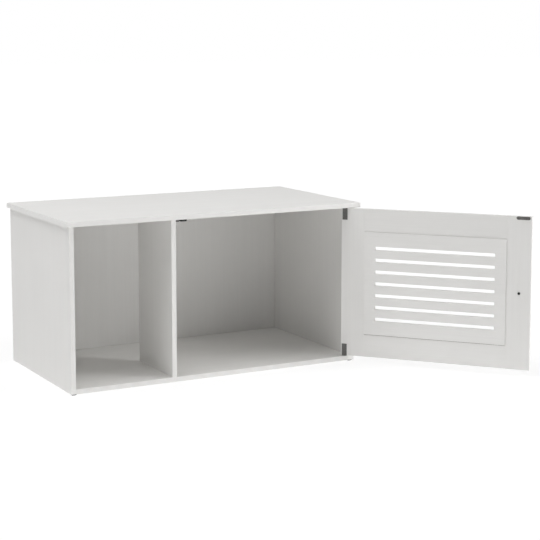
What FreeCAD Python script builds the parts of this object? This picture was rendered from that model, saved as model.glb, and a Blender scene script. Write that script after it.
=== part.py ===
import FreeCAD, Part
import math
import os
from collections import namedtuple

# A low cabinet for a cat litter box, in millimetres.
# X runs to the right, Y to the rear and Z up. The origin is on the floor,
# under the middle of the carcass. The door is modelled closed and then
# swung open about its pivot pins.

V = FreeCAD.Vector
TO_RIGHT = V(1, 0, 0)
TO_LEFT = V(-1, 0, 0)
TO_REAR = V(0, 1, 0)
TO_FRONT = V(0, -1, 0)
UP = V(0, 0, 1)
DOWN = V(0, 0, -1)

# Carcass boards
BODY_WIDTH = 975.0            # across the outer faces of the sides
BODY_DEPTH = 519.0            # front edges to rear edges of the sides
BODY_HEIGHT = 500.0           # sides, from their lower ends to the top panel
TOP_BOARD = 15.0              # thicknesses
SIDE_BOARD = 15.0
BASE_BOARD = 15.0
DIVIDER_BOARD = 15.0
BACK_BOARD = 15.0
TOP_SIDE_OVERHANG = 11.5
TOP_FRONT_OVERHANG = 17.0
LEFT_BAY_WIDTH = 312.5        # clear width of the open bay
DIVIDER_DEPTH = 249.0         # what lies behind it is the cat's passage
BOARD_EASE = 0.5              # rounding along every board edge

# Floor pads
PAD_SIDE = 14.0
PAD_HEIGHT = 3.0
PAD_INSET = 4.0               # from the carcass faces
PAD_CORNER = 2.0

# Door frame and vent panel
DOOR_BOARD = 15.0
DOOR_HINGE_GAP = 2.0          # hinge edge to the right side
DOOR_FREE_GAP = 2.0           # free edge to the divider
DOOR_OPEN_ANGLE = 130.0
STILE_WIDTH = 76.5            # on the inner face
RAIL_WIDTH = 72.5             # on the inner face
VENT_BOARD = 12.0
VENT_PROUD = 3.0              # the vent panel stands this far out of the frame
VENT_LAP = 10.0               # the frame's front lip over the vent panel
VENT_CLEARANCE = 0.2          # vent panel to the frame at its sides and top
VENT_GAP_BELOW = 1.4          # shadow gap under the vent panel
SLOT_COUNT = 7
SLOT_MARGIN = 35.75           # slot ends to the frame
SLOT_HEIGHT = 12.0
SLOT_PITCH = 38.3
SLOT_CORNER = 2.5

# Hinge straps, pins and bushes
STRAP_WIDTH = 16.5
STRAP_LEG = 37.5              # down the inner face of the door
STRAP_THICKNESS = 1.2
STRAP_NOSE = 1.0              # strap end to the door's front face
STRAP_BEND = 0.8              # radius inside the bend
PIVOT_FROM_FACE = 5.0         # pin axis behind the door's front face
SWING_CLEARANCE = 2.75        # open door to the right side's front corner
PIN_DIAMETER = 4.0
PIN_REACH = 8.0               # pin beyond the strap
PIN_HEAD_RIM = 1.4            # head beyond the shank
PIN_HEAD_HEIGHT = 1.0
PIN_CLEARANCE = 0.05          # running clearance on the radius
PIN_FIT = 0.02                # shank to the strap's hole, on the radius
PIVOT_PLAY = 0.3              # strap to the board or bush that faces it
BUSH_WALL = 1.3
BUSH_DEPTH = 10.0
BUSH_FLANGE_RIM = 1.2
BUSH_FLANGE_HEIGHT = 2.0      # only the lower bush has a flange
BUSH_FIT = 0.05               # bush to its hole, on the radius
STRAP_SCREW_FIRST = 12.0      # from the door's edge
STRAP_SCREW_STEP = 16.0

# Strike plate on the door and catch under the top
STRIKE_LENGTH = 43.0
STRIKE_HEIGHT = 10.0
STRIKE_THICKNESS = 1.2
STRIKE_CORNER = 4.8
STRIKE_DROP = 0.3             # below the door's top edge
STRIKE_FROM_FREE_EDGE = 26.5  # its middle
STRIKE_SCREW_SPREAD = 25.0
CATCH_GAP = 0.3               # closed strike plate to the catch
CATCH_PLATE_THICKNESS = 1.2
CATCH_PLATE_DEPTH = 32.0
CATCH_TAB_WIDTH = 12.0
CATCH_TAB_GAP = 6.5           # tab to housing
CATCH_HOUSING_WIDTH = 19.5
CATCH_HOUSING_DEPTH = 16.0
CATCH_DROP = 10.5             # underside of the top to the catch's underside
CATCH_FROM_STRIKE = 3.1       # middle of the catch to the middle of the strike
MAGNET_WIDTH = 14.0
MAGNET_DEPTH = 10.0
MAGNET_HEIGHT = 4.0
POLE_THICKNESS = 1.2
POLE_STICK_OUT = 0.15         # pole plates beyond the housing's front
CATCH_SCREW_FROM_REAR = 6.0

# Knob, from its foot on the door to its crown
KNOB_FROM_FREE_EDGE = 36.5
KNOB_FOOT_DIAMETER = 18.0
KNOB_NECK_DIAMETER = 11.0
KNOB_SHOULDER_DIAMETER = 22.4
KNOB_DIAMETER = 28.0
KNOB_BROW_DIAMETER = 24.0
KNOB_CROWN_DIAMETER = 13.0
KNOB_FOOT_HEIGHT = 1.8
KNOB_NECK_START = 4.8
KNOB_NECK_END = 11.5
KNOB_SHOULDER_HEIGHT = 14.2
KNOB_BELLY_START = 17.8
KNOB_BELLY_END = 20.8
KNOB_BROW_HEIGHT = 23.8
KNOB_REACH = 25.0
KNOB_FOOT_ROUND = 0.8
KNOB_NECK_ROUND = 1.5
KNOB_HEAD_ROUND = 4.0
KNOB_SCREW_BITE = 9.0         # thread inside the knob

# Cam fittings
CAM_DIAMETER = 15.0
CAM_SETBACK = 34.0            # cam axis from the joint
CAM_FLOOR = 2.5               # board left under the cam
CAM_SUNK = 0.4                # cam face below the board's face
CAM_FIT = 0.1
CAM_POCKET_REACH = 5.2        # room for the bolt's head, from the cam's axis
CAM_CROSS_SPAN = 7.4
CAM_CROSS_SLOT = 1.8
CAM_CROSS_DEPTH = 2.2
CAP_DIAMETER = 17.0
CAP_HEIGHT = 0.6
CAP_RIM_HEIGHT = 0.24
CAP_BEVEL = 0.6
BOLT_HEAD_DIAMETER = 7.0
BOLT_HEAD_END = 3.3           # from the cam's axis toward the joint
BOLT_NECK_DIAMETER = 4.6
BOLT_SHANK_DIAMETER = 6.6
BOLT_HEAD_LENGTH = 2.6
BOLT_HOLE_DIAMETER = 8.0
BOLT_THREAD_DIAMETER = 5.0
BOLT_FLOOR = 4.0              # board left beyond the bolt's thread
BOLT_FIT = 0.1

# Dowels and long screws
DOWEL_DIAMETER = 8.0
DOWEL_IN_EDGE = 20.0
DOWEL_FLOOR = 5.0             # board left beyond the dowel
DOWEL_BEVEL = 1.0
DOWEL_FIT = 0.1
DOOR_DOWEL_DIAMETER = 6.0
DOOR_DOWEL_HALF = 16.0
DOOR_DOWEL_SPREAD = 32.0
BASE_SCREW_BITE = 30.0        # length beyond the bottom panel
SCREW_FIT = 0.1

# Screws. A recess is the span, width and depth of the screwdriver cross.
PanScrew = namedtuple("PanScrew", "diameter length head side crown height recess")
FlatScrew = namedtuple("FlatScrew", "diameter length head recess")
Recess = namedtuple("Recess", "span slot depth")
STRAP_SCREW = PanScrew(
    diameter=3.0, length=10.0, head=5.6, side=0.65, crown=2.2, height=1.3,
    recess=Recess(span=2.8, slot=0.8, depth=0.8))
CATCH_SCREW = PanScrew(
    diameter=3.0, length=9.5, head=5.6, side=0.65, crown=2.2, height=1.3,
    recess=Recess(span=2.8, slot=0.8, depth=0.8))
KNOB_SCREW = PanScrew(
    diameter=4.0, length=DOOR_BOARD + KNOB_SCREW_BITE, head=8.4, side=1.2, crown=3.4,
    height=2.4, recess=Recess(span=4.2, slot=1.2, depth=1.4))
STRIKE_SCREW = FlatScrew(
    diameter=3.0, length=8.0, head=5.2, recess=Recess(span=2.6, slot=0.7, depth=0.8))
BASE_SCREW = FlatScrew(
    diameter=4.5, length=BASE_BOARD + BASE_SCREW_BITE, head=8.6,
    recess=Recess(span=4.3, slot=1.1, depth=1.6))

# Places of the fittings
SIDE_CAM_FROM_FRONT = 50.0
SIDE_CAM_FROM_BACK = 50.0
DOWEL_BESIDE_CAM = 32.0
DIVIDER_CAM_FROM_END = 42.0
DIVIDER_SCREW_FROM_END = 60.0
BACK_CAM_FROM_END = 110.0
BACK_CAM_SPREAD = 420.0
BACK_SCREW_SPREAD = 380.0

# Carcass planes
LEFT = -BODY_WIDTH / 2
RIGHT = BODY_WIDTH / 2
FRONT = -BODY_DEPTH / 2
REAR = BODY_DEPTH / 2
BASE_UNDERSIDE = PAD_HEIGHT
BASE_FACE = BASE_UNDERSIDE + BASE_BOARD
TOP_UNDERSIDE = BASE_UNDERSIDE + BODY_HEIGHT
LEFT_INNER = LEFT + SIDE_BOARD
RIGHT_INNER = RIGHT - SIDE_BOARD
BACK_FACE = REAR - BACK_BOARD
DIVIDER_LEFT = LEFT_INNER + LEFT_BAY_WIDTH
DIVIDER_RIGHT = DIVIDER_LEFT + DIVIDER_BOARD
DIVIDER_REAR = FRONT + DIVIDER_DEPTH

# Closed door planes
HINGE_EDGE = RIGHT_INNER - DOOR_HINGE_GAP
FREE_EDGE = DIVIDER_RIGHT + DOOR_FREE_GAP
DOOR_BOTTOM = BASE_FACE + BUSH_FLANGE_HEIGHT + PIVOT_PLAY + STRAP_THICKNESS
DOOR_TOP = TOP_UNDERSIDE - PIVOT_PLAY - STRAP_THICKNESS
DOOR_INNER = FRONT + DOOR_BOARD
VENT_FRONT = DOOR_INNER - VENT_BOARD + VENT_PROUD
VENT_LEFT = FREE_EDGE + STILE_WIDTH
VENT_RIGHT = HINGE_EDGE - STILE_WIDTH
VENT_BOTTOM = DOOR_BOTTOM + RAIL_WIDTH
VENT_TOP = DOOR_TOP - RAIL_WIDTH
DOOR_MIDDLE = (DOOR_BOTTOM + DOOR_TOP) / 2

# The pin stands so far from the right side that the open door's outer face
# passes the side's front corner with SWING_CLEARANCE to spare.
HALF_SWING = math.radians(DOOR_OPEN_ANGLE / 2)
PIVOT_X = RIGHT_INNER - PIVOT_FROM_FACE * math.tan(HALF_SWING) - SWING_CLEARANCE
PIVOT_Y = FRONT + PIVOT_FROM_FACE
BUSH_BORE_RADIUS = PIN_DIAMETER / 2 + PIN_CLEARANCE
BUSH_RADIUS = BUSH_BORE_RADIUS + BUSH_WALL

MATCH = 0.001                 # edges this near to a height or a plane lie on it

CamJoint = namedtuple("CamJoint", "face toward out board mating capped")


class Hardware:
    """Fittings by node name, and the holes that they need."""

    def __init__(self):
        self.pieces = {}
        self.holes = []

    def add(self, node, piece):
        self.pieces.setdefault(node, []).append(piece)

    def bore(self, hole):
        self.holes.append(hole)

    def drilled(self, board):
        """The board with every hole that reaches into it."""
        near = [hole for hole in self.holes if board.BoundBox.intersect(hole.BoundBox)]
        if near:
            board = board.cut(near)
        return board.Solids[0]


# Basic forms

def block(x0, x1, y0, y1, z0, z1):
    return Part.makeBox(x1 - x0, y1 - y0, z1 - z0, V(x0, y0, z0))


def eased_block(x0, x1, y0, y1, z0, z1, ease=BOARD_EASE):
    """A block whose edges are all rounded."""
    plain = block(x0, x1, y0, y1, z0, z1)
    return plain.makeFillet(ease, plain.Edges)


def rod(diameter, start, direction, length):
    return Part.makeCylinder(diameter / 2, length, start, direction)


def turned(profile):
    """The solid that a half profile of (radius, height) points sweeps about Z."""
    corners = [V(radius, 0, height) for radius, height in profile]
    outline = Part.makePolygon(corners + corners[:1])
    return Part.Face(outline).revolve(V(0, 0, 0), UP, 360)


def framed(shape, origin, toward, out):
    """The shape with its X along toward, its Z along out and its origin at origin."""
    across = out.cross(toward)
    matrix = FreeCAD.Matrix(
        toward.x, across.x, out.x, origin.x,
        toward.y, across.y, out.y, origin.y,
        toward.z, across.z, out.z, origin.z,
        0, 0, 0, 1)
    moved = shape.copy()
    moved.Placement = FreeCAD.Placement(matrix)
    return moved


def standing(shape, origin, out):
    """A turned shape set at origin with its Z along out."""
    side = TO_RIGHT if abs(out.x) < abs(out.z) + abs(out.y) else UP
    return framed(shape, origin, side, out)


def cross_recess(recess, height):
    """A screwdriver cross that is cut down from the given height."""
    bar = block(-recess.span / 2, recess.span / 2, -recess.slot / 2, recess.slot / 2,
                height - recess.depth, height + recess.depth)
    return bar.fuse(bar.rotated(V(0, 0, 0), UP, 90))


def pan_screw(screw):
    """Pan head on the plane Z = 0, shank and point below it."""
    radius = screw.diameter / 2
    body = turned([
        (0, -screw.length),
        (radius, radius - screw.length),
        (radius, 0),
        (screw.head / 2, 0),
        (screw.head / 2, screw.side),
        (screw.crown / 2, screw.height),
        (0, screw.height)])
    return body.cut(cross_recess(screw.recess, screw.height))


def screw_hole(screw, place, direction):
    """A plain hole a little wider and deeper than the screw's shank."""
    return rod(screw.diameter + 2 * SCREW_FIT, place, direction, screw.length + SCREW_FIT)


def flat_screw(screw):
    """Countersunk head flush with the plane Z = 0, shank and point below it."""
    radius = screw.diameter / 2
    sink = screw.head / 2 - radius
    body = turned([
        (0, -screw.length),
        (radius, radius - screw.length),
        (radius, -sink),
        (screw.head / 2, 0),
        (0, 0)])
    return body.cut(cross_recess(screw.recess, 0))


def flat_screw_hole(screw):
    """The clearance around a flat_screw."""
    radius = screw.diameter / 2 + SCREW_FIT
    rim = screw.head / 2 + SCREW_FIT
    return turned([
        (0, -screw.length - SCREW_FIT),
        (radius, -screw.length - SCREW_FIT),
        (radius, radius - rim),
        (rim, 0),
        (0, 0)])


# Cam fittings. Their own frame has its origin on the board's face over the
# cam's axis, X toward the joint and Z out of the face.

def cam_housing(joint):
    depth = joint.board - CAM_FLOOR
    radius = CAM_DIAMETER / 2 - CAM_FIT
    middle = V(0, 0, -joint.board / 2)
    drum = Part.makeCylinder(radius, depth - CAM_SUNK, V(0, 0, -depth))
    pocket = rod(BOLT_HEAD_DIAMETER + 2 * CAM_FIT, middle, TO_RIGHT, CAM_POCKET_REACH)
    mouth = rod(BOLT_NECK_DIAMETER + 2 * CAM_FIT, middle, TO_RIGHT, CAM_DIAMETER)
    cross = cross_recess(Recess(CAM_CROSS_SPAN, CAM_CROSS_SLOT, CAM_CROSS_DEPTH), -CAM_SUNK)
    return drum.cut([pocket, mouth, cross]).Solids[0]


def cam_bolt(joint):
    """The bolt along X, from its head inside the cam to the end of its thread."""
    neck_end = CAM_DIAMETER / 2 + CAM_FIT
    tip = CAM_SETBACK + joint.mating - BOLT_FLOOR
    thread = BOLT_THREAD_DIAMETER / 2
    bolt = turned([
        (0, BOLT_HEAD_END - BOLT_HEAD_LENGTH),
        (BOLT_HEAD_DIAMETER / 2, BOLT_HEAD_END - BOLT_HEAD_LENGTH),
        (BOLT_HEAD_DIAMETER / 2, BOLT_HEAD_END),
        (BOLT_NECK_DIAMETER / 2, BOLT_HEAD_END),
        (BOLT_NECK_DIAMETER / 2, neck_end),
        (BOLT_SHANK_DIAMETER / 2, neck_end),
        (BOLT_SHANK_DIAMETER / 2, CAM_SETBACK),
        (thread, CAM_SETBACK),
        (thread, tip - thread),
        (0, tip)])
    return framed(bolt, V(0, 0, -joint.board / 2), UP, TO_RIGHT)


def cam_holes(joint):
    depth = joint.board - CAM_FLOOR
    middle = -joint.board / 2
    thread_end = CAM_SETBACK + joint.mating - BOLT_FLOOR + BOLT_FIT
    cam = Part.makeCylinder(CAM_DIAMETER / 2, depth, V(0, 0, -depth))
    shank = rod(BOLT_HOLE_DIAMETER, V(0, 0, middle), TO_RIGHT, CAM_SETBACK)
    thread = rod(BOLT_THREAD_DIAMETER + 2 * BOLT_FIT, V(0, 0, middle), TO_RIGHT, thread_end)
    return [cam, shank, thread]


def cam_cap():
    """A thin domed cover that lies on the board's face."""
    rim = CAP_DIAMETER / 2
    plug = CAM_DIAMETER / 2 - CAM_FIT
    return turned([
        (0, -CAM_SUNK),
        (plug, -CAM_SUNK),
        (plug, 0),
        (rim, 0),
        (rim, CAP_RIM_HEIGHT),
        (rim - CAP_BEVEL, CAP_HEIGHT),
        (0, CAP_HEIGHT)])


def fit_cam(hardware, joint):
    place = (joint.face, joint.toward, joint.out)
    hardware.add("cam_housings", framed(cam_housing(joint), *place))
    bolt = Part.makeCompound([cam_bolt(joint)])
    hardware.add("cam_bolts", framed(bolt, *place).Solids[0])
    if joint.capped:
        hardware.add("cam_caps", framed(cam_cap(), *place))
    for hole in cam_holes(joint):
        hardware.bore(framed(hole, *place))


def dowel(diameter, back, ahead):
    """A bevelled dowel along Z, from -back to ahead."""
    radius = diameter / 2
    return turned([
        (0, -back),
        (radius - DOWEL_BEVEL, -back),
        (radius, DOWEL_BEVEL - back),
        (radius, ahead - DOWEL_BEVEL),
        (radius - DOWEL_BEVEL, ahead),
        (0, ahead)])


def fit_dowel(hardware, node, place, out, diameter, back, ahead):
    """A dowel across a joint plane at place, with ahead of it lying along out."""
    hardware.add(node, standing(dowel(diameter, back, ahead), place, out))
    length = back + ahead + 2 * DOWEL_FIT
    hardware.bore(rod(diameter + 2 * DOWEL_FIT, place - out * (back + DOWEL_FIT), out, length))


def fit_board_dowel(hardware, place, out, mating):
    fit_dowel(hardware, "board_dowels", place, out, DOWEL_DIAMETER, DOWEL_IN_EDGE,
              mating - DOWEL_FLOOR)


# Joints of the carcass

def side_fitting_depths():
    """Y of the front and rear cams, each with the Y of the dowel beside it."""
    front = FRONT + SIDE_CAM_FROM_FRONT
    rear = BACK_FACE - SIDE_CAM_FROM_BACK
    return [(front, front + DOWEL_BESIDE_CAM), (rear, rear - DOWEL_BESIDE_CAM)]


def join_sides(hardware):
    """The sides to the top, with cams in the sides' inner faces, and the
    bottom panel to the sides, with cams in its underside."""
    cam_height = TOP_UNDERSIDE - CAM_SETBACK
    base_middle = BASE_UNDERSIDE + BASE_BOARD / 2
    for inner, inward in ((LEFT_INNER, TO_RIGHT), (RIGHT_INNER, TO_LEFT)):
        outward = inward * -1
        side_middle = inner + outward.x * SIDE_BOARD / 2
        base_cam = inner + inward.x * CAM_SETBACK
        for cam_y, dowel_y in side_fitting_depths():
            fit_cam(hardware, CamJoint(V(inner, cam_y, cam_height), UP, inward,
                                       SIDE_BOARD, TOP_BOARD, True))
            fit_board_dowel(hardware, V(side_middle, dowel_y, TOP_UNDERSIDE), UP, TOP_BOARD)
            fit_cam(hardware, CamJoint(V(base_cam, cam_y, BASE_UNDERSIDE), outward, DOWN,
                                       BASE_BOARD, SIDE_BOARD, False))
            fit_board_dowel(hardware, V(inner, dowel_y, base_middle), outward, SIDE_BOARD)


def join_divider(hardware):
    """Cams in the right face up to the top, screws and a dowel at the foot."""
    middle_x = (DIVIDER_LEFT + DIVIDER_RIGHT) / 2
    middle_y = (FRONT + DIVIDER_REAR) / 2
    cam_height = TOP_UNDERSIDE - CAM_SETBACK
    for cam_y in (FRONT + DIVIDER_CAM_FROM_END, DIVIDER_REAR - DIVIDER_CAM_FROM_END):
        fit_cam(hardware, CamJoint(V(DIVIDER_RIGHT, cam_y, cam_height), UP, TO_RIGHT,
                                   DIVIDER_BOARD, TOP_BOARD, True))
    fit_board_dowel(hardware, V(middle_x, middle_y, TOP_UNDERSIDE), UP, TOP_BOARD)
    fit_board_dowel(hardware, V(middle_x, middle_y, BASE_FACE), DOWN, BASE_BOARD)
    for screw_y in (FRONT + DIVIDER_SCREW_FROM_END, DIVIDER_REAR - DIVIDER_SCREW_FROM_END):
        fit_base_screw(hardware, middle_x, screw_y)


def join_back(hardware):
    """Cams in the rear face to both sides and the top, screws at the foot."""
    middle_y = REAR - BACK_BOARD / 2
    low = BASE_FACE + BACK_CAM_FROM_END
    high = TOP_UNDERSIDE - BACK_CAM_FROM_END
    for inner, outward in ((LEFT_INNER, TO_LEFT), (RIGHT_INNER, TO_RIGHT)):
        cam_x = inner - outward.x * CAM_SETBACK
        for cam_z, dowel_z in ((low, low + DOWEL_BESIDE_CAM), (high, high - DOWEL_BESIDE_CAM)):
            fit_cam(hardware, CamJoint(V(cam_x, REAR, cam_z), outward, TO_REAR,
                                       BACK_BOARD, SIDE_BOARD, False))
            fit_board_dowel(hardware, V(inner, middle_y, dowel_z), outward, SIDE_BOARD)
    for side in (-1, 1):
        cam_x = side * BACK_CAM_SPREAD / 2
        fit_cam(hardware, CamJoint(V(cam_x, REAR, TOP_UNDERSIDE - CAM_SETBACK), UP, TO_REAR,
                                   BACK_BOARD, TOP_BOARD, False))
        fit_board_dowel(hardware, V(cam_x + side * DOWEL_BESIDE_CAM, middle_y, TOP_UNDERSIDE),
                        UP, TOP_BOARD)
    for step in (-1, 0, 1):
        fit_base_screw(hardware, step * BACK_SCREW_SPREAD / 2, middle_y)


def fit_base_screw(hardware, x, y):
    """A long screw up through the bottom panel."""
    place = V(x, y, BASE_UNDERSIDE)
    hardware.add("base_screws", standing(flat_screw(BASE_SCREW), place, DOWN))
    hardware.bore(standing(flat_screw_hole(BASE_SCREW), place, DOWN))


# Pivot bushes and catch, which stay with the carcass

def pivot_bush(flange_height):
    """A bush whose mouth is at Z = 0, with a flange above it if there is one."""
    bore = BUSH_BORE_RADIUS
    rim = BUSH_RADIUS + BUSH_FLANGE_RIM
    if flange_height:
        head = [(BUSH_RADIUS, 0), (rim, 0), (rim, flange_height), (bore, flange_height)]
    else:
        head = [(BUSH_RADIUS, 0), (bore, 0)]
    return turned([(bore, -BUSH_DEPTH), (BUSH_RADIUS, -BUSH_DEPTH)] + head)


def fit_bushes(hardware):
    upper = V(PIVOT_X, PIVOT_Y, TOP_UNDERSIDE)
    lower = V(PIVOT_X, PIVOT_Y, BASE_FACE)
    hardware.add("upper_pivot_bush", standing(pivot_bush(0), upper, DOWN))
    hardware.add("lower_pivot_bush", standing(pivot_bush(BUSH_FLANGE_HEIGHT), lower, UP))
    hole = 2 * (BUSH_RADIUS + BUSH_FIT)
    hardware.bore(rod(hole, upper, UP, BUSH_DEPTH))
    hardware.bore(rod(hole, lower, DOWN, BUSH_DEPTH))


def catch_planes():
    """X of the tab's two sides and of the housing's two sides, and Y of the front."""
    width = CATCH_TAB_WIDTH + CATCH_TAB_GAP + CATCH_HOUSING_WIDTH
    tab_left = FREE_EDGE + STRIKE_FROM_FREE_EDGE - CATCH_FROM_STRIKE - width / 2
    tab_right = tab_left + CATCH_TAB_WIDTH
    housing_left = tab_right + CATCH_TAB_GAP
    housing_right = housing_left + CATCH_HOUSING_WIDTH
    front = DOOR_INNER + STRIKE_THICKNESS + CATCH_GAP
    return tab_left, tab_right, housing_left, housing_right, front


def catch_screw_places():
    tab_left, tab_right, housing_left, housing_right, front = catch_planes()
    seat = TOP_UNDERSIDE - CATCH_PLATE_THICKNESS
    y = front + CATCH_PLATE_DEPTH - CATCH_SCREW_FROM_REAR
    return [V((tab_left + tab_right) / 2, y, seat),
            V((housing_left + housing_right) / 2, y, seat)]


def catch_plate():
    """A steel plate under the top, with a tab turned down at its left."""
    tab_left, tab_right, _, housing_right, front = catch_planes()
    seat = TOP_UNDERSIDE - CATCH_PLATE_THICKNESS
    plate = block(tab_left, housing_right, front, front + CATCH_PLATE_DEPTH, seat, TOP_UNDERSIDE)
    tab = block(tab_left, tab_right, front, front + CATCH_PLATE_THICKNESS,
                TOP_UNDERSIDE - CATCH_DROP, TOP_UNDERSIDE)
    holes = [rod(CATCH_SCREW.diameter + 2 * SCREW_FIT, place, UP, CATCH_PLATE_THICKNESS)
             for place in catch_screw_places()]
    return plate.fuse(tab).removeSplitter().cut(holes).Solids[0]


def magnet_block():
    """The room that the magnet and its two pole plates share."""
    _, _, housing_left, housing_right, front = catch_planes()
    middle_x = (housing_left + housing_right) / 2
    middle_z = TOP_UNDERSIDE - (CATCH_PLATE_THICKNESS + CATCH_DROP) / 2
    half_height = MAGNET_HEIGHT / 2 + POLE_THICKNESS
    return (middle_x - MAGNET_WIDTH / 2, middle_x + MAGNET_WIDTH / 2,
            front, front + MAGNET_DEPTH, middle_z - half_height, middle_z + half_height)


def catch_housing():
    _, _, housing_left, housing_right, front = catch_planes()
    shell = eased_block(housing_left, housing_right, front, front + CATCH_HOUSING_DEPTH,
                        TOP_UNDERSIDE - CATCH_DROP, TOP_UNDERSIDE - CATCH_PLATE_THICKNESS)
    x0, x1, y0, y1, z0, z1 = magnet_block()
    return shell.cut(block(x0, x1, y0 - 1, y1, z0, z1)).Solids[0]


def catch_magnet():
    x0, x1, y0, y1, z0, z1 = magnet_block()
    return block(x0, x1, y0 + POLE_STICK_OUT, y1, z0 + POLE_THICKNESS, z1 - POLE_THICKNESS)


def pole_plates():
    x0, x1, y0, y1, z0, z1 = magnet_block()
    lower = block(x0, x1, y0 - POLE_STICK_OUT, y1, z0, z0 + POLE_THICKNESS)
    upper = block(x0, x1, y0 - POLE_STICK_OUT, y1, z1 - POLE_THICKNESS, z1)
    return [lower, upper]


def fit_catch(hardware):
    hardware.add("catch_plate", catch_plate())
    hardware.add("catch_housing", catch_housing())
    hardware.add("catch_magnet", catch_magnet())
    for plate in pole_plates():
        hardware.add("pole_plates", plate)
    for place in catch_screw_places():
        hardware.add("catch_screws", standing(pan_screw(CATCH_SCREW), place, DOWN))
        hardware.bore(screw_hole(CATCH_SCREW, place, UP))


# Boards of the carcass

def carcass_boards():
    return {
        "top_panel": eased_block(
            LEFT - TOP_SIDE_OVERHANG, RIGHT + TOP_SIDE_OVERHANG,
            FRONT - TOP_FRONT_OVERHANG, REAR, TOP_UNDERSIDE, TOP_UNDERSIDE + TOP_BOARD),
        "left_side_panel": eased_block(
            LEFT, LEFT_INNER, FRONT, REAR, BASE_UNDERSIDE, TOP_UNDERSIDE),
        "right_side_panel": eased_block(
            RIGHT_INNER, RIGHT, FRONT, REAR, BASE_UNDERSIDE, TOP_UNDERSIDE),
        "bottom_panel": eased_block(
            LEFT_INNER, RIGHT_INNER, FRONT, REAR, BASE_UNDERSIDE, BASE_FACE),
        "divider_panel": eased_block(
            DIVIDER_LEFT, DIVIDER_RIGHT, FRONT, DIVIDER_REAR, BASE_FACE, TOP_UNDERSIDE),
        "back_panel": eased_block(
            LEFT_INNER, RIGHT_INNER, BACK_FACE, REAR, BASE_FACE, TOP_UNDERSIDE),
    }


def floor_pads():
    """One rounded square pad under each corner."""
    pads = {}
    for depth_name, y, in_y in (("front", FRONT, 1), ("rear", REAR, -1)):
        for side_name, x, in_x in (("left", LEFT, 1), ("right", RIGHT, -1)):
            xs = sorted((x + in_x * PAD_INSET, x + in_x * (PAD_INSET + PAD_SIDE)))
            ys = sorted((y + in_y * PAD_INSET, y + in_y * (PAD_INSET + PAD_SIDE)))
            pad = block(*xs, *ys, 0, PAD_HEIGHT)
            upright = [edge for edge in pad.Edges if abs(edge.tangentAt(0).z) > 0.5]
            pads[f"{depth_name}_{side_name}_pad"] = pad.makeFillet(PAD_CORNER, upright)
    return pads


# Door, modelled closed

def stile(outer, inward):
    """A full-height upright with a rebate along its inner side for the vent panel.
    Its outer edge is at X = outer, and inward is +1 or -1 along X."""
    lip = outer + inward * (STILE_WIDTH + VENT_LAP)
    xs = sorted((outer, lip))
    blank = eased_block(*xs, FRONT, DOOR_INNER, DOOR_BOTTOM, DOOR_TOP)
    rebate_xs = sorted((outer + inward * STILE_WIDTH, lip + inward))
    rebate = block(*rebate_xs, VENT_FRONT, DOOR_INNER + 1, DOOR_BOTTOM - 1, DOOR_TOP + 1)
    return blank.cut(rebate).Solids[0]


def rail(outer, inward):
    """A rail between the stiles, lapped over their lips, with the same rebate.
    Its outer edge is at Z = outer, and inward is +1 or -1 along Z."""
    lip = outer + inward * (RAIL_WIDTH + VENT_LAP)
    zs = sorted((outer, lip))
    blank = eased_block(VENT_LEFT, VENT_RIGHT, FRONT, DOOR_INNER, *zs)
    rebate_zs = sorted((outer + inward * RAIL_WIDTH, lip + inward))
    rebate = block(VENT_LEFT - 1, VENT_RIGHT + 1, VENT_FRONT, DOOR_INNER + 1, *rebate_zs)
    left_lap = block(VENT_LEFT - 1, VENT_LEFT + VENT_LAP, FRONT - 1, VENT_FRONT, *zs)
    right_lap = block(VENT_RIGHT - VENT_LAP, VENT_RIGHT + 1, FRONT - 1, VENT_FRONT, *zs)
    return blank.cut([rebate, left_lap, right_lap]).Solids[0]


def slot_cutter(middle_z):
    tall = SLOT_HEIGHT / 2
    slot = block(VENT_LEFT + SLOT_MARGIN, VENT_RIGHT - SLOT_MARGIN, VENT_FRONT - 1,
                 VENT_FRONT + VENT_BOARD + 1, middle_z - tall, middle_z + tall)
    along_y = [edge for edge in slot.Edges if abs(edge.tangentAt(0).y) > 0.5]
    return slot.makeFillet(SLOT_CORNER, along_y)


def vent_panel():
    gap = VENT_CLEARANCE
    panel = eased_block(VENT_LEFT + gap, VENT_RIGHT - gap, VENT_FRONT,
                        VENT_FRONT + VENT_BOARD, VENT_BOTTOM + VENT_GAP_BELOW, VENT_TOP - gap)
    lowest = DOOR_MIDDLE - SLOT_PITCH * (SLOT_COUNT - 1) / 2
    slots = [slot_cutter(lowest + SLOT_PITCH * step) for step in range(SLOT_COUNT)]
    return panel.cut(slots).Solids[0]


def join_door_frame(hardware):
    """Two dowels across each of the four corners, in the thick inner layer."""
    y = (VENT_FRONT + DOOR_INNER) / 2
    for joint_x in (VENT_LEFT, VENT_RIGHT):
        for rail_z in (DOOR_BOTTOM + RAIL_WIDTH / 2, DOOR_TOP - RAIL_WIDTH / 2):
            for step in (-0.5, 0.5):
                place = V(joint_x, y, rail_z + step * DOOR_DOWEL_SPREAD)
                fit_dowel(hardware, "door_dowels", place, TO_RIGHT, DOOR_DOWEL_DIAMETER,
                          DOOR_DOWEL_HALF, DOOR_DOWEL_HALF)


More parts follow.
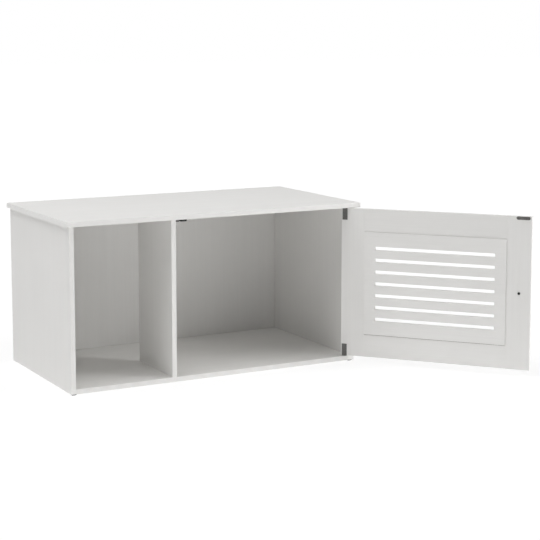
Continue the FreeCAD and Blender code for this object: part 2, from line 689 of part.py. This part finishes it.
def hinge_strap(edge, outward):
    """A strip down the door's inner face that bends over its edge to carry the
    pin. The edge is at Z = edge, and outward is +1 at the top and -1 below."""
    inner = DOOR_INNER
    outer = DOOR_INNER + STRAP_THICKNESS
    crown = edge + outward * STRAP_THICKNESS
    foot = edge - outward * STRAP_LEG
    nose = FRONT + STRAP_NOSE
    left = PIVOT_X - STRAP_WIDTH / 2
    outline = [(nose, edge), (inner, edge), (inner, foot), (outer, foot),
               (outer, crown), (nose, crown)]
    corners = [V(left, y, z) for y, z in outline]
    face = Part.Face(Part.makePolygon(corners + corners[:1]))
    strip = face.extrude(V(STRAP_WIDTH, 0, 0))
    bends = [bend for bend in strip.Edges
             if abs(bend.tangentAt(0).x) > 0.5
             and abs(bend.CenterOfMass.y - outer) < MATCH
             and abs(bend.CenterOfMass.z - crown) < MATCH]
    strip = strip.makeFillet(STRAP_BEND, bends)
    pin_hole = rod(PIN_DIAMETER + 2 * PIN_FIT, V(PIVOT_X, PIVOT_Y, edge), UP * outward,
                   STRAP_THICKNESS)
    screw_holes = [rod(STRAP_SCREW.diameter + 2 * SCREW_FIT, place, TO_FRONT, STRAP_THICKNESS)
                   for place in strap_screw_places(edge, outward)]
    return strip.cut([pin_hole] + screw_holes).Solids[0]


def strap_screw_places(edge, outward):
    first = edge - outward * STRAP_SCREW_FIRST
    seat = DOOR_INNER + STRAP_THICKNESS
    return [V(PIVOT_X, seat, first), V(PIVOT_X, seat, first - outward * STRAP_SCREW_STEP)]


def pivot_pin():
    """Head below Z = 0, shank through the strap and on into the bush."""
    shank = PIN_DIAMETER / 2
    end = STRAP_THICKNESS + PIN_REACH
    return turned([
        (0, -PIN_HEAD_HEIGHT),
        (shank + PIN_HEAD_RIM, -PIN_HEAD_HEIGHT),
        (shank + PIN_HEAD_RIM, 0),
        (shank, 0),
        (shank, end - shank / 2),
        (shank / 2, end),
        (0, end)])


def fit_hinge(hardware, name, edge, outward):
    out = UP * outward
    pivot = V(PIVOT_X, PIVOT_Y, edge)
    pocket = PIN_DIAMETER + 2 * (PIN_HEAD_RIM + SCREW_FIT)
    hardware.add(f"{name}_hinge_strap", hinge_strap(edge, outward))
    hardware.add(f"{name}_hinge_pin", standing(pivot_pin(), pivot, out))
    hardware.bore(rod(pocket, pivot, out * -1, PIN_HEAD_HEIGHT + SCREW_FIT))
    for place in strap_screw_places(edge, outward):
        hardware.add("strap_screws", standing(pan_screw(STRAP_SCREW), place, TO_REAR))
        hardware.bore(screw_hole(STRAP_SCREW, place, TO_FRONT))


def strike_screw_places():
    middle_x = FREE_EDGE + STRIKE_FROM_FREE_EDGE
    middle_z = DOOR_TOP - STRIKE_DROP - STRIKE_HEIGHT / 2
    seat = DOOR_INNER + STRIKE_THICKNESS
    return [V(middle_x + step * STRIKE_SCREW_SPREAD / 2, seat, middle_z) for step in (-1, 1)]


def strike_plate():
    """A steel plate with round ends and two countersunk holes."""
    middle_x = FREE_EDGE + STRIKE_FROM_FREE_EDGE
    top = DOOR_TOP - STRIKE_DROP
    plate = block(middle_x - STRIKE_LENGTH / 2, middle_x + STRIKE_LENGTH / 2,
                  DOOR_INNER, DOOR_INNER + STRIKE_THICKNESS, top - STRIKE_HEIGHT, top)
    ends = [edge for edge in plate.Edges if abs(edge.tangentAt(0).y) > 0.5]
    plate = plate.makeFillet(STRIKE_CORNER, ends)
    holes = [standing(flat_screw_hole(STRIKE_SCREW), place, TO_REAR)
             for place in strike_screw_places()]
    return plate.cut(holes).Solids[0]


def fit_strike(hardware):
    hardware.add("strike_plate", strike_plate())
    for place in strike_screw_places():
        hardware.add("strike_screws", standing(flat_screw(STRIKE_SCREW), place, TO_REAR))
        hardware.bore(standing(flat_screw_hole(STRIKE_SCREW), place, TO_REAR))


def knob():
    """A turned knob whose foot is at Z = 0, with a threaded hole in the foot."""
    hole = KNOB_SCREW.diameter / 2 + SCREW_FIT
    depth = KNOB_SCREW_BITE + SCREW_FIT
    outside = [
        (KNOB_FOOT_DIAMETER, 0),
        (KNOB_FOOT_DIAMETER, KNOB_FOOT_HEIGHT),
        (KNOB_NECK_DIAMETER, KNOB_NECK_START),
        (KNOB_NECK_DIAMETER, KNOB_NECK_END),
        (KNOB_SHOULDER_DIAMETER, KNOB_SHOULDER_HEIGHT),
        (KNOB_DIAMETER, KNOB_BELLY_START),
        (KNOB_DIAMETER, KNOB_BELLY_END),
        (KNOB_BROW_DIAMETER, KNOB_BROW_HEIGHT),
        (KNOB_CROWN_DIAMETER, KNOB_REACH)]
    profile = [(diameter / 2, height) for diameter, height in outside]
    body = turned([(hole, 0)] + profile + [(0, KNOB_REACH), (0, depth), (hole, depth)])
    body = body.makeFillet(KNOB_FOOT_ROUND, rings(body, [KNOB_FOOT_HEIGHT]))
    body = body.makeFillet(KNOB_NECK_ROUND, rings(body, [KNOB_NECK_START, KNOB_NECK_END]))
    head = [KNOB_SHOULDER_HEIGHT, KNOB_BELLY_START, KNOB_BELLY_END, KNOB_BROW_HEIGHT, KNOB_REACH]
    return body.makeFillet(KNOB_HEAD_ROUND, rings(body, head))


def rings(body, heights):
    """The round edges of a turned body at the given heights."""
    return [edge for edge in body.Edges
            if isinstance(edge.Curve, Part.Circle)
            and any(abs(edge.Curve.Center.z - height) < MATCH for height in heights)]


def fit_knob(hardware):
    x = FREE_EDGE + KNOB_FROM_FREE_EDGE
    seat = V(x, DOOR_INNER, DOOR_MIDDLE)
    hardware.add("knob", standing(knob(), V(x, FRONT, DOOR_MIDDLE), TO_FRONT))
    hardware.add("knob_screw", standing(pan_screw(KNOB_SCREW), seat, TO_REAR))
    hardware.bore(rod(KNOB_SCREW.diameter + 2 * SCREW_FIT, seat, TO_FRONT, DOOR_BOARD))


def door_boards():
    return {
        "hinge_stile": stile(HINGE_EDGE, -1),
        "latch_stile": stile(FREE_EDGE, 1),
        "top_rail": rail(DOOR_TOP, -1),
        "bottom_rail": rail(DOOR_BOTTOM, 1),
        "vent_panel": vent_panel(),
    }


def swung_open(shape):
    return shape.rotated(V(PIVOT_X, PIVOT_Y, 0), UP, DOOR_OPEN_ANGLE)


# Assembly

def build_carcass():
    hardware = Hardware()
    join_sides(hardware)
    join_divider(hardware)
    join_back(hardware)
    fit_bushes(hardware)
    fit_catch(hardware)
    nodes = {name: [hardware.drilled(board)] for name, board in carcass_boards().items()}
    nodes.update({name: [pad] for name, pad in floor_pads().items()})
    nodes.update(hardware.pieces)
    return nodes


def build_door():
    hardware = Hardware()
    join_door_frame(hardware)
    fit_hinge(hardware, "upper", DOOR_TOP, 1)
    fit_hinge(hardware, "lower", DOOR_BOTTOM, -1)
    fit_strike(hardware)
    fit_knob(hardware)
    nodes = {name: [hardware.drilled(board)] for name, board in door_boards().items()}
    nodes.update(hardware.pieces)
    return {name: [swung_open(piece) for piece in pieces] for name, pieces in nodes.items()}


def export(nodes):
    os.makedirs("parts", exist_ok=True)
    for name, pieces in nodes.items():
        shape = pieces[0] if len(pieces) == 1 else Part.makeCompound(pieces)
        shape.exportStep(f"parts/{name}.step")


export(build_carcass())
export(build_door())
print("door pivot", round(PIVOT_X, 4), round(PIVOT_Y, 4))
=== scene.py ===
import math

import bpy
import numpy as np
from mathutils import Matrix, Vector

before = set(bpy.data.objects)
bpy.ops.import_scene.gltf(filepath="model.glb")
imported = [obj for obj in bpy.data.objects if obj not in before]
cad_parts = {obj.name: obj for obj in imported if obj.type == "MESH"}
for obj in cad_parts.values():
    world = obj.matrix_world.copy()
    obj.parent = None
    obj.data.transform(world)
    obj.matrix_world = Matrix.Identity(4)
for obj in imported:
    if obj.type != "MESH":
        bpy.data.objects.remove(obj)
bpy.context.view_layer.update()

# Looks for a pale cabinet that hides a cat litter pan. Lengths are in metres,
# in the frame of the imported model: +X right, -Y front, +Z up, floor at Z = 0.


# Boards: the axis that each one's grain runs along, with the door swung shut

OPEN_ANGLE = math.radians(130.0)      # how far the door stands open at rest
RAIL_LIP = 0.010                      # the bottom rail's lip in front of the vent panel
REBATE_DEPTH = 0.009                  # from that rail's inner face to its lip

CARCASS_GRAIN = {
    "top_panel": "X",
    "bottom_panel": "X",
    "left_side_panel": "Z",
    "right_side_panel": "Z",
    "divider_panel": "Z",
    "back_panel": "Z",
}
DOOR_GRAIN = {
    "hinge_stile": "Z",
    "latch_stile": "Z",
    "top_rail": "X",
    "bottom_rail": "X",
    "vent_panel": "X",
}


# The laminate's pattern: features in a metre across the grain, and along it

FIGURE = (26.0, 1.3)
STREAKS = (160.0, 3.0)
PORES = (900.0, 22.0)
MOTTLE = 5.0                          # cloudy patches in a metre, the same both ways
LAMINATE_DARK = 0.962                 # darkest and palest laminate, beside its tone
LAMINATE_PALE = 1.032
LAMINATE_GLOSS = 0.47                 # roughness of a board's plain face
LAMINATE_RELIEF = 0.000025            # depth of the embossed grain

# Distances in from a board's edge between which each mark fades

STRIP_END = (0.00035, 0.00055)        # the glued edge strip stops
SEAM_START = (0.0007, 0.0009)         # the glue line beside the strip
SEAM_END = (0.0010, 0.0012)
RUBBED_RIM = (0.0005, 0.0045)         # what hands rub round the rim
REBATE_MARGIN = (0.0003, 0.0001)      # the painted shade in the rebate starts this close to its edges


# Tones, as plain colours of 0 to 1

CARCASS_TONE = (0.840, 0.832, 0.814)
DOOR_TONE = (0.830, 0.822, 0.804)
# painted shade: the dark colour of the rebate in the gap under the vent panel, standing for its
# shadow
REBATE_PAINTED_SHADE = (0.260, 0.235, 0.205)
STRIP_TONE = (0.120, 0.118, 0.113)
POLE_TONE = (0.03, 0.03, 0.03)
ZINC = (0.62, 0.62, 0.60)
DIE_CAST = (0.42, 0.42, 0.43)
BLACKENED = (0.030, 0.030, 0.029)
KNOB_TONE = (0.035, 0.034, 0.033)
CATCH_BLACK = (0.008, 0.008, 0.008)
FERRITE = (0.03, 0.03, 0.03)
NYLON = (0.10, 0.10, 0.10)
PAD_DARK = (0.022, 0.022, 0.022)
PAD_DUSTY = (0.075, 0.075, 0.073)
BEECH_DARK = (0.50, 0.35, 0.20)
BEECH_PALE = (0.72, 0.55, 0.36)
WHITE = (1.0, 1.0, 1.0)


# Floor, world, lamps and camera

FLOOR_REACH = 30.0
FLOOR_TONE = (0.80, 0.80, 0.80)
FLOOR_WHITE = 0.50                    # share of plain white in the floor by the cabinet
FLOOR_LIGHT = 0.51                    # what the lit floor sends up, beside its reflection
FLOOR_SEEN = 0.74                     # how much of that light the floor itself shows
FLOOR_GLOW = 1.03                     # strength of the plain white
SHADED_FLOOR = Vector((0.10, -0.35, 0.0))      # middle of the floor that shows a shadow
SHADE_FADES = (0.7, 1.4)              # distances from there at which it turns plain white
WORLD_LIGHT = 0.05

LAMP_AIM = Vector((0.1, -0.1, 0.25))
LAMP_DISTANCE = 4.0
LAMPS = {                             # azimuth, elevation, side of the square, watts
    "left_lamp": (-90.0, 60.0, 2.4, 75.5),
    "door_lamp": (-45.0, 60.0, 1.2, 16.0),
    "bay_lamp": (30.0, 8.0, 1.2, 7.0),
    "front_lamp": (45.0, 30.0, 1.2, 35.0),
    "low_lamp": (60.0, 8.0, 2.4, 28.5),
    "right_lamp": (60.0, 45.0, 1.2, 20.0),
    "rear_lamp": (180.0, 25.0, 2.4, 10.0),
}

LENS = 99.3135                        # millimetres
SENSOR = 36.0
LENS_SHIFT = -0.12
CAMERA_PLACE = (-2.02705, -4.29665, 1.09867)
CAMERA_DOWN = 7.0895                  # degrees below level
CAMERA_TURN = -28.6442                # degrees from straight ahead


SOCKETS = {"specular": "Specular IOR Level"}


class Flow:
    """One output of a shader node, with the arithmetic that the finishes use."""

    def __init__(self, nodes, socket):
        self.nodes = nodes
        self.socket = socket

    def maths(self, operation, *others):
        sockets = dict(enumerate((self, *others)))
        return self.nodes.add("ShaderNodeMath", {"operation": operation}, sockets)

    def swapped(self, operation, other):
        return self.nodes.add("ShaderNodeMath", {"operation": operation}, {0: other, 1: self})

    def __add__(self, other):
        return self.maths("ADD", other)

    def __radd__(self, other):
        return self.swapped("ADD", other)

    def __sub__(self, other):
        return self.maths("SUBTRACT", other)

    def __rsub__(self, other):
        return self.swapped("SUBTRACT", other)

    def __mul__(self, other):
        return self.maths("MULTIPLY", other)

    def __rmul__(self, other):
        return self.swapped("MULTIPLY", other)

    def __abs__(self):
        return self.maths("ABSOLUTE")

    def least(self, other):
        return self.maths("MINIMUM", other)

    def most(self, other):
        return self.maths("MAXIMUM", other)

    def step(self, start, end):
        """0 at start and 1 at end, eased in between."""
        settings = {"interpolation_type": "SMOOTHSTEP"}
        sockets = {"Value": self, "From Min": start, "From Max": end}
        return self.nodes.add("ShaderNodeMapRange", settings, sockets)


class Nodes:
    """The shader nodes of one material or of the world."""

    def __init__(self, tree):
        self.tree = tree

    def add(self, kind, settings, sockets, output=0):
        """A node of that kind: its settings first, then its sockets' values or links."""
        node = self.tree.nodes.new(kind)
        for setting, value in settings.items():
            setattr(node, setting, value)
        for key, value in sockets.items():
            self.feed(self.find(node.inputs, key), value)
        return Flow(self, self.find(node.outputs, output))

    def find(self, sockets, key):
        """The socket with that number, identifier or name."""
        if isinstance(key, int):
            return sockets[key]
        return next(s for s in sockets if key in (s.identifier, s.name))

    def feed(self, socket, value):
        if isinstance(value, Flow):
            self.tree.links.new(value.socket, socket)
        else:
            socket.default_value = value

    def surface(self, shader):
        """Gives the shader to the tree's output."""
        output = next(n for n in self.tree.nodes if n.type.startswith("OUTPUT"))
        self.feed(output.inputs["Surface"], shader)

    def place(self, turn=0.0, shift=(0.0, 0.0, 0.0), scale=(1.0, 1.0, 1.0)):
        """The point on the object, turned about Z, stretched and shifted."""
        point = self.add("ShaderNodeTexCoord", {}, {}, "Object")
        sockets = {"Vector": point, "Rotation": (0.0, 0.0, turn)}
        turned = self.add("ShaderNodeMapping", {}, sockets)
        sockets = {"Vector": turned, "Location": shift, "Scale": scale}
        return self.add("ShaderNodeMapping", {}, sockets)

    def split(self, vector):
        return [self.add("ShaderNodeSeparateXYZ", {}, {0: vector}, axis) for axis in range(3)]

    def noise(self, point, scale, detail=2.0, roughness=0.5, distortion=0.0):
        """Cloudy values of 0 to 1, with scale features in a metre."""
        sockets = {"Vector": point, "Scale": scale, "Detail": detail,
                   "Roughness": roughness, "Distortion": distortion}
        return self.add("ShaderNodeTexNoise", {}, sockets)

    def blend(self, factor, first, second):
        """first where factor is 0, and second where it is 1. first may be a flow."""
        start = first if isinstance(first, Flow) else (*first, 1.0)
        sockets = {"Factor_Float": factor, "A_Color": start, "B_Color": (*second, 1.0)}
        return self.add("ShaderNodeMix", {"data_type": "RGBA"}, sockets, "Result_Color")

    def bump(self, height, depth):
        """A surface normal from a height of 0 to 1, which stands for depth metres."""
        return self.add("ShaderNodeBump", {}, {"Height": height, "Distance": depth})


class Finish(Nodes):
    """A material with one Principled shader."""

    def __init__(self, name, **shader):
        self.material = bpy.data.materials.new(name)
        self.material.use_nodes = True
        super().__init__(self.material.node_tree)
        self.shader = next(n for n in self.tree.nodes if n.type == "BSDF_PRINCIPLED")
        self.set(**shader)

    def socket(self, name):
        return self.shader.inputs[SOCKETS.get(name, name.replace("_", " ").title())]

    def set(self, **values):
        """Puts what is the same all over straight on the shader's sockets."""
        for name, value in values.items():
            self.socket(name).default_value = value

    def drive(self, **flows):
        """Links what varies over the surface to the shader's sockets."""
        for name, flow in flows.items():
            self.feed(self.socket(name), flow)


def tinted(tone, share):
    """The tone made darker or paler, and at most white."""
    return tuple(min(1.0, share * part) for part in tone)


def wear(finish, node, patches=40.0):
    """Faint rubbed patches: 1 where the surface has been handled."""
    point = finish.place(shift=(len(node), 0.3, 0.7))
    return finish.noise(point, patches, detail=3.0, roughness=0.6).step(0.45, 0.75)


def turned_box(node, turn):
    """Lowest and highest corner of a node after a turn about Z."""
    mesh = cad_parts[node].data
    points = np.empty(len(mesh.vertices) * 3)
    mesh.vertices.foreach_get("co", points)
    cos = math.cos(turn)
    sin = math.sin(turn)
    spin = np.array([[cos, -sin, 0.0], [sin, cos, 0.0], [0.0, 0.0, 1.0]])
    points = points.reshape(-1, 3) @ spin.T
    return points.min(0), points.max(0)


def from_rim(sides, low, high):
    """Distance of a point on a board from the nearest of its four edges."""
    thin = int(np.argmin(high - low))
    insets = []
    for axis in range(3):
        if axis != thin:
            middle = float((low[axis] + high[axis]) / 2)
            half = float((high[axis] - low[axis]) / 2)
            insets.append(half - abs(sides[axis] - middle))
    return insets[0].least(insets[1])


def laminate(node, grain, turn, tone, number, banded, lip=0.0):
    """Pale embossed wood-grain laminate on a board.

    turn brings the board square to the axes. Grain runs along one of them. A banded
    board has a plain edge strip, and on the others the laminate is wrapped round. The
    rebate below a lip on the board's upper edge gets painted shade: a dark colour that
    stands for the shadow in the gap there."""
    finish = Finish(f"laminate_{node}")
    low, high = turned_box(node, turn)
    shift = (0.37 * number, 0.61 * number, 0.23 * number)

    def stretched(across, lengthwise):
        scale = [across, across, across]
        scale["XYZ".index(grain)] = lengthwise
        return finish.place(turn, shift, tuple(scale))

    figure = finish.noise(stretched(*FIGURE), 1.0, 3.0, 0.55, 0.6)
    streaks = finish.noise(stretched(*STREAKS), 1.0, 3.0, 0.6, 0.25)
    pores = finish.noise(stretched(*PORES), 1.0, 1.0, 0.5).step(0.60, 0.74)
    mottle = finish.noise(finish.place(turn, shift), MOTTLE)

    sides = finish.split(finish.place(turn))
    rim = from_rim(sides, low, high)
    strip = 1.0 if banded else 0.0
    band = (1.0 - rim.step(*STRIP_END)) * strip
    seam = rim.step(*SEAM_START) * (1.0 - rim.step(*SEAM_END)) * strip
    rubbed = (1.0 - rim.step(*RUBBED_RIM)) * wear(finish, node)

    shade = (figure * 0.34 + streaks * 0.40 + mottle * 0.26 - 0.5) * 1.9 + 0.5
    flecks = pores * (1.0 - band)
    light = shade * (1.0 - band) + band * 0.72 - flecks * 0.22 - seam * 0.8 + rubbed * 0.35
    relief = (streaks * 0.6 + figure * 0.4 - pores) * (1.0 - band) + rubbed * 0.2 - seam
    colour = finish.blend(light, tinted(tone, LAMINATE_DARK), tinted(tone, LAMINATE_PALE))
    # painted shade: the rebate under the lip is coloured dark to stand for the shadow in the gap
    if lip:
        lip_back = high[1] - REBATE_DEPTH
        rebate_floor = high[2] - lip
        painted_shade = (sides[1].step(*(lip_back - margin for margin in REBATE_MARGIN))
               * sides[2].step(*(rebate_floor - margin for margin in REBATE_MARGIN)))
        colour = finish.blend(painted_shade, colour, REBATE_PAINTED_SHADE)
    finish.drive(
        base_color=colour,
        roughness=(LAMINATE_GLOSS + (streaks - 0.5) * 0.12 + pores * 0.10 - rubbed * 0.10
                   - band * 0.04),
        normal=finish.bump(relief, LAMINATE_RELIEF))
    return finish.material


def dull_steel(node, tone):
    """Dark phosphated strip steel, rubbed brighter where it is handled."""
    finish = Finish(f"dark_strip_{node}", metallic=0.55)
    rubbed = wear(finish, node, 90.0)
    cloud = finish.noise(finish.place(), 260.0, 4.0, 0.65)
    drawn = finish.noise(finish.place(scale=(3000.0, 3000.0, 60.0)), 1.0, 1.0)
    light = cloud * 0.6 + drawn * 0.25 + rubbed * 0.35
    finish.drive(
        base_color=finish.blend(light, tinted(tone, 0.72), tinted(tone, 1.45)),
        roughness=0.44 + cloud * 0.16 - rubbed * 0.10,
        normal=finish.bump(cloud + drawn * 0.5, 0.00002))
    return finish.material


def plated_steel(node, tone, metallic=0.9):
    """Bright zinc plate with a slightly cloudy bloom."""
    finish = Finish(f"plated_{node}", metallic=metallic)
    bloom = finish.noise(finish.place(), 340.0, 3.0, 0.6)
    scuffs = finish.noise(finish.place(), 1500.0, 2.0, 0.7).step(0.5, 0.8)
    finish.drive(
        base_color=finish.blend(bloom * 0.8 + scuffs * 0.2, tinted(tone, 0.8), tone),
        roughness=0.30 + bloom * 0.16 + scuffs * 0.10,
        normal=finish.bump(bloom + scuffs, 0.00001))
    return finish.material


def moulded_plastic(node, tone, roughness, gloss=0.5):
    """Plastic from a fine spark-textured mould, a little shinier where it is touched."""
    finish = Finish(f"moulded_{node}", specular=gloss)
    sparks = finish.noise(finish.place(), 2600.0, 2.0, 0.6)
    cloud = finish.noise(finish.place(), 120.0, 3.0)
    rubbed = wear(finish, node, 70.0)
    light = cloud * 0.7 + rubbed * 0.3
    finish.drive(
        base_color=finish.blend(light, tinted(tone, 0.86), tinted(tone, 1.16)),
        roughness=roughness + sparks * 0.12 - rubbed * 0.12,
        normal=finish.bump(sparks, 0.00003))
    return finish.material


def soft_pad(node):
    """Dense grey pad whose sides pick up floor dust."""
    finish = Finish(f"pad_{node}", specular=0.2)
    crumbs = finish.noise(finish.place(), 900.0, 3.0, 0.7)
    height = finish.split(finish.place())[2]
    dust = (1.0 - height.step(0.0002, 0.0016)) * crumbs
    finish.drive(
        base_color=finish.blend(crumbs * 0.5 + dust * 0.6, PAD_DARK, PAD_DUSTY),
        roughness=0.78 + crumbs * 0.14,
        normal=finish.bump(crumbs, 0.00012))
    return finish.material


def bare_beech(node):
    """Unfinished dowel wood with short pale rays."""
    finish = Finish(f"beech_{node}")
    rays = finish.noise(finish.place(scale=(500.0, 500.0, 90.0)), 1.0, 3.0, 0.6)
    bands = finish.noise(finish.place(scale=(160.0, 160.0, 12.0)), 1.0, 2.0, 0.5, 0.4)
    finish.drive(
        base_color=finish.blend(rays * 0.5 + bands * 0.5, BEECH_DARK, BEECH_PALE),
        roughness=0.66 + rays * 0.14,
        normal=finish.bump(rays, 0.00005))
    return finish.material


def dress(node, material):
    """Gives the node's own mesh that finish in every slot."""
    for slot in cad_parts[node].material_slots:
        slot.link = "DATA"
        slot.material = material


for number, (board, grain) in enumerate(CARCASS_GRAIN.items(), 1):
    dress(board, laminate(board, grain, 0.0, CARCASS_TONE, number, True))
for number, (board, grain) in enumerate(DOOR_GRAIN.items(), 9):
    lip = RAIL_LIP if board == "bottom_rail" else 0.0
    dress(board, laminate(board, grain, -OPEN_ANGLE, DOOR_TONE, number, False, lip))
for strip in ("upper_hinge_strap", "lower_hinge_strap", "strike_plate", "catch_plate"):
    dress(strip, dull_steel(strip, STRIP_TONE))
dress("pole_plates", dull_steel("pole_plates", POLE_TONE))
for small in ("upper_hinge_pin", "lower_hinge_pin", "base_screws", "cam_bolts"):
    dress(small, plated_steel(small, ZINC))
for small in ("strap_screws", "strike_screws", "catch_screws"):
    dress(small, dull_steel(small, STRIP_TONE))
dress("cam_housings", plated_steel("cam_housings", DIE_CAST, metallic=0.6))
dress("knob_screw", plated_steel("knob_screw", BLACKENED, metallic=0.5))
dress("knob", moulded_plastic("knob", KNOB_TONE, roughness=0.30))
dress("catch_housing", moulded_plastic("catch_housing", CATCH_BLACK, roughness=0.60, gloss=0.15))
dress("catch_magnet", moulded_plastic("catch_magnet", FERRITE, roughness=0.60))
dress("cam_caps", moulded_plastic("cam_caps", CARCASS_TONE, roughness=0.42))
for bush in ("upper_pivot_bush", "lower_pivot_bush"):
    dress(bush, moulded_plastic(bush, NYLON, roughness=0.50))
for pad in ("front_left_pad", "front_right_pad", "rear_left_pad", "rear_right_pad"):
    dress(pad, soft_pad(pad))
for wood in ("board_dowels", "door_dowels"):
    dress(wood, bare_beech(wood))


def floor_slab(reach):
    """A flat square on Z = 0."""
    mesh = bpy.data.meshes.new("floor")
    corners = [(-reach, -reach, 0.0), (reach, -reach, 0.0), (reach, reach, 0.0), (-reach, reach, 0.0)]
    mesh.from_pydata(corners, [], [(0, 1, 2, 3)])
    slab = bpy.data.objects.new("floor", mesh)
    bpy.context.scene.collection.objects.link(slab)
    return slab


def seen_white(nodes):
    """1 for rays whose view of the surroundings is plain white."""
    path = [nodes.add("ShaderNodeLightPath", {}, {}, ray)
            for ray in ("Is Camera Ray", "Is Glossy Ray", "Is Transmission Ray")]
    return path[0].most(path[1]).most(path[2])


def white_floor():
    """Pale floor that shows as white paper and keeps a faint shadow."""
    finish = Finish("pale_floor", base_color=(*FLOOR_TONE, 1.0), roughness=0.9, specular=0.0,
                    emission_strength=FLOOR_LIGHT)
    seen = seen_white(finish)
    finish.drive(emission_color=finish.blend(seen, WHITE, (FLOOR_SEEN,) * 3))
    glow = finish.add("ShaderNodeEmission", {}, {"Color": (*WHITE, 1.0), "Strength": FLOOR_GLOW})
    body = Flow(finish, finish.shader.outputs[0])
    point = finish.place(shift=-SHADED_FLOOR)
    away = finish.add("ShaderNodeVectorMath", {"operation": "LENGTH"}, {0: point}, "Value")
    share = seen * (FLOOR_WHITE + away.step(*SHADE_FADES) * (1.0 - FLOOR_WHITE))
    finish.surface(finish.add("ShaderNodeMixShader", {}, {0: share, 1: body, 2: glow}))
    return finish.material


def white_world(strength):
    """Even light from all round, seen as plain white."""
    world = bpy.data.worlds.new("studio")
    bpy.context.scene.world = world
    world.use_nodes = True
    nodes = Nodes(world.node_tree)
    lit = nodes.add("ShaderNodeBackground", {}, {0: (*WHITE, 1.0), 1: strength})
    seen = nodes.add("ShaderNodeBackground", {}, {0: (*WHITE, 1.0), 1: 1.0})
    nodes.surface(nodes.add("ShaderNodeMixShader", {}, {0: seen_white(nodes), 1: lit, 2: seen}))


def softbox(name, azimuth, elevation, side, power):
    """A square lamp that looks at the cabinet. Azimuth 0 is in front, 90 to the right.

    The boards mirror the white room and not the lamps, so no lamp burns out a sheen."""
    around = math.radians(azimuth)
    above = math.radians(elevation)
    away = Vector((math.sin(around) * math.cos(above), -math.cos(around) * math.cos(above),
                   math.sin(above)))
    data = bpy.data.lights.new(name, "AREA")
    data.shape = "SQUARE"
    data.size = side
    data.energy = power
    lamp = bpy.data.objects.new(name, data)
    lamp.location = LAMP_AIM + away * LAMP_DISTANCE
    lamp.rotation_euler = away.to_track_quat("Z", "Y").to_euler()
    lamp.visible_camera = False
    lamp.visible_glossy = False
    bpy.context.scene.collection.objects.link(lamp)


def photo_camera():
    """The camera that sees the cabinet from the left of its front, a little above."""
    data = bpy.data.cameras.new("camera")
    data.lens = LENS
    data.sensor_width = SENSOR
    data.shift_y = LENS_SHIFT
    camera = bpy.data.objects.new("camera", data)
    camera.location = CAMERA_PLACE
    camera.rotation_euler = (math.radians(90.0 - CAMERA_DOWN), 0.0, math.radians(CAMERA_TURN))
    bpy.context.scene.collection.objects.link(camera)
    bpy.context.scene.camera = camera


floor = floor_slab(FLOOR_REACH)
floor.data.materials.append(white_floor())
white_world(WORLD_LIGHT)
for name, (azimuth, elevation, side, power) in LAMPS.items():
    softbox(name, azimuth, elevation, side, power)
photo_camera()
bpy.context.scene.view_settings.view_transform = "Standard"
